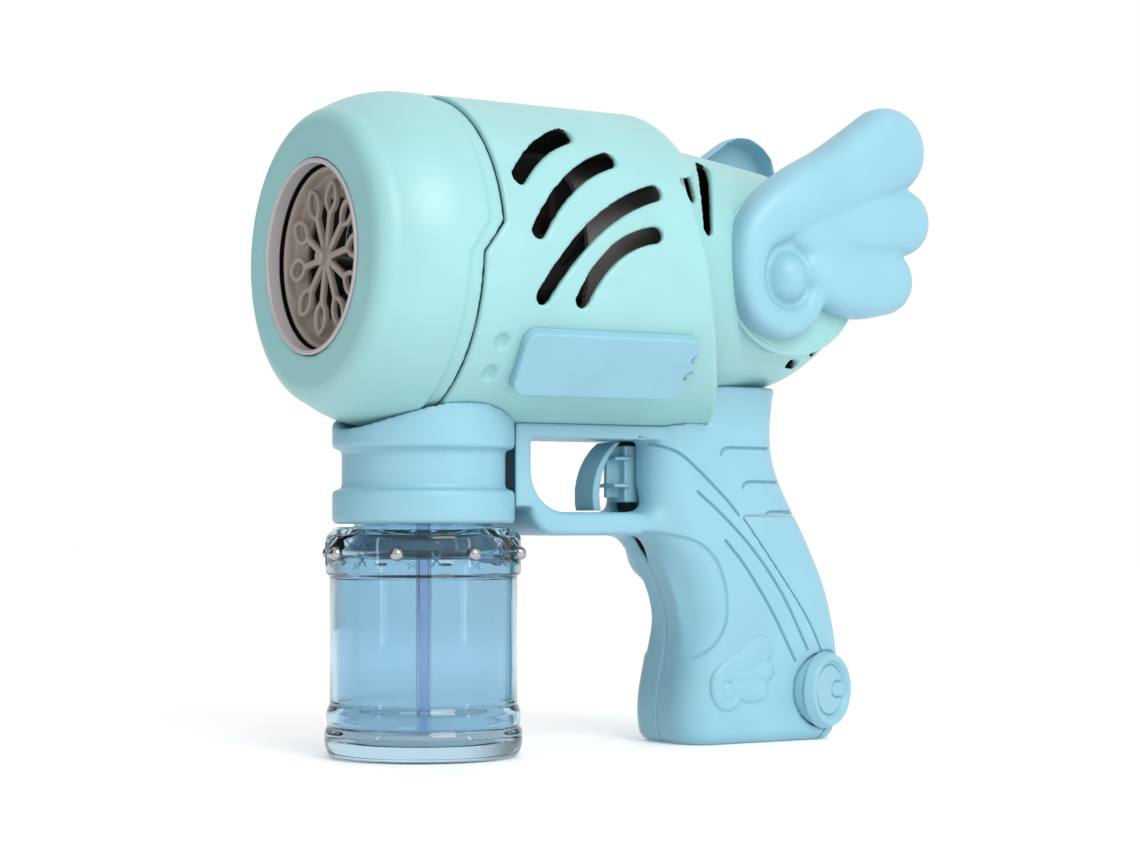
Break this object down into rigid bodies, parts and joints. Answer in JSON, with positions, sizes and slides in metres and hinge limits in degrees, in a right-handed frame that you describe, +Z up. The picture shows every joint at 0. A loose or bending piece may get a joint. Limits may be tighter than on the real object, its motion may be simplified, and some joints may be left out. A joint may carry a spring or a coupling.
{
  "type": "bubble blower gun",
  "caption": "Hand-held bubble blower: round barrel with vents and wings, bubble wheel in the nozzle, screw-in clear bottle, grip with trigger guard.",
  "frame": {"origin": "centre of the bottle's base, on the surface the toy stands on", "axes": "+Z up along the bottle, nozzle points to -Y, +X is the toy's left side"},
  "size_m": [0.0866, 0.1732, 0.1753],
  "materials": {
    "mint_plastic": "satin moulded",
    "blue_plastic": "satin moulded",
    "screw_steel": "zinc plated",
    "stud_metal": "polished",
    "spring_steel": "drawn wire",
    "grey_plastic": "satin",
    "wheel_plastic": "satin moulded",
    "dark_plastic": "matte",
    "gear_plastic": "matte",
    "shaft_steel": "ground",
    "motor_case": "plated can",
    "clear_tube": "clear soft tube",
    "clear_bottle": "clear tinted",
    "washer_rubber": "matte",
    "cell_wrap": "shrink wrap",
    "contact_metal": "plated"
  },
  "bodies": {
    "housing": {"front_cowl": "mint_plastic", "mid_shell_left": "mint_plastic", "mid_shell_right": "mint_plastic", "rear_shell_left": "mint_plastic", "rear_shell_right": "mint_plastic", "wing_left": "blue_plastic", "wing_right": "blue_plastic", "wing_screws": "screw_steel", "side_plate_left": "blue_plastic", "side_plate_right": "blue_plastic", "nozzle_ring": "grey_plastic", "solution_tray": "wheel_plastic", "gear_carrier": "dark_plastic", "drive_motor": "motor_case", "pump_body": "dark_plastic", "delivery_tube": "clear_tube", "fan_duct": "dark_plastic", "fan_motor": "motor_case", "bottle_collar": "blue_plastic", "dip_tube": "clear_tube", "grip_left": "blue_plastic", "grip_right": "blue_plastic", "grip_screws": "screw_steel", "trigger_spring": "spring_steel", "trigger_switch": "dark_plastic", "spring_seat": "dark_plastic", "battery_holder": "dark_plastic", "battery_cell_1": "cell_wrap", "battery_cell_2": "cell_wrap", "battery_cell_3": "cell_wrap", "battery_contacts": "contact_metal"},
    "wheel": {"bubble_wheel": "wheel_plastic", "wheel_shaft": "shaft_steel", "wheel_gear": "gear_plastic"},
    "pinion": {"drive_pinion": "gear_plastic"},
    "pump": {"pump_rotor": "gear_plastic"},
    "fan": {"fan_impeller": "dark_plastic"},
    "trigger": {"trigger": "blue_plastic"},
    "washer": {"bottle_washer": "washer_rubber"},
    "bottle": {"bottle": "clear_bottle", "bottle_studs": "stud_metal"},
    "battery_door": {"battery_door": "blue_plastic"},
    "lock_knob": {"lock_knob": "blue_plastic"}
  },
  "joints": [
    {"name": "wheel_spin", "type": "hinge", "parent": "housing", "child": "wheel", "pos_m": [0, 0, 0.1278], "axis": [0, 1, 0], "continuous": true},
    {"name": "pinion_spin", "type": "hinge", "parent": "housing", "child": "pinion", "pos_m": [0, 0, 0.1098], "axis": [0, 1, 0], "continuous": true},
    {"name": "pump_spin", "type": "hinge", "parent": "housing", "child": "pump", "pos_m": [0.01143, 0, 0.1032], "axis": [0, 1, 0], "continuous": true},
    {"name": "fan_spin", "type": "hinge", "parent": "housing", "child": "fan", "pos_m": [0, 0, 0.1278], "axis": [0, 1, 0], "continuous": true},
    {"name": "trigger_pull", "type": "slide", "parent": "housing", "child": "trigger", "axis": [0, 1, 0], "range_m": [0, 0.0045], "stiffness_N_per_m": 400, "springref_m": -0.004, "deforming": ["trigger_spring"]},
    {"name": "bottle_lower", "type": "slide", "parent": "housing", "child": "washer", "axis": [0, 0, -1], "range_m": [0, 0.01]},
    {"name": "bottle_turn", "type": "hinge", "parent": "washer", "child": "bottle", "pos_m": [0, 0, 0], "axis": [0, 0, 1], "range_deg": [0, 900]},
    {"name": "door_slide", "type": "slide", "parent": "housing", "child": "battery_door", "axis": [0, 1, 0], "range_m": [0, 0.06]},
    {"name": "lock_turn", "type": "hinge", "parent": "battery_door", "child": "lock_knob", "pos_m": [0.0149, 0.1197, 0.014], "axis": [0.9397, 0.342, 0], "range_deg": [0, 90]}
  ],
  "couplings": [
    {"joint": "pinion_spin", "follows": "wheel_spin", "ratio": -4},
    {"joint": "pump_spin", "follows": "wheel_spin", "ratio": 1.5},
    {"joint": "bottle_turn", "follows": "bottle_lower", "rad_per_m": 1570.8}
  ]
}
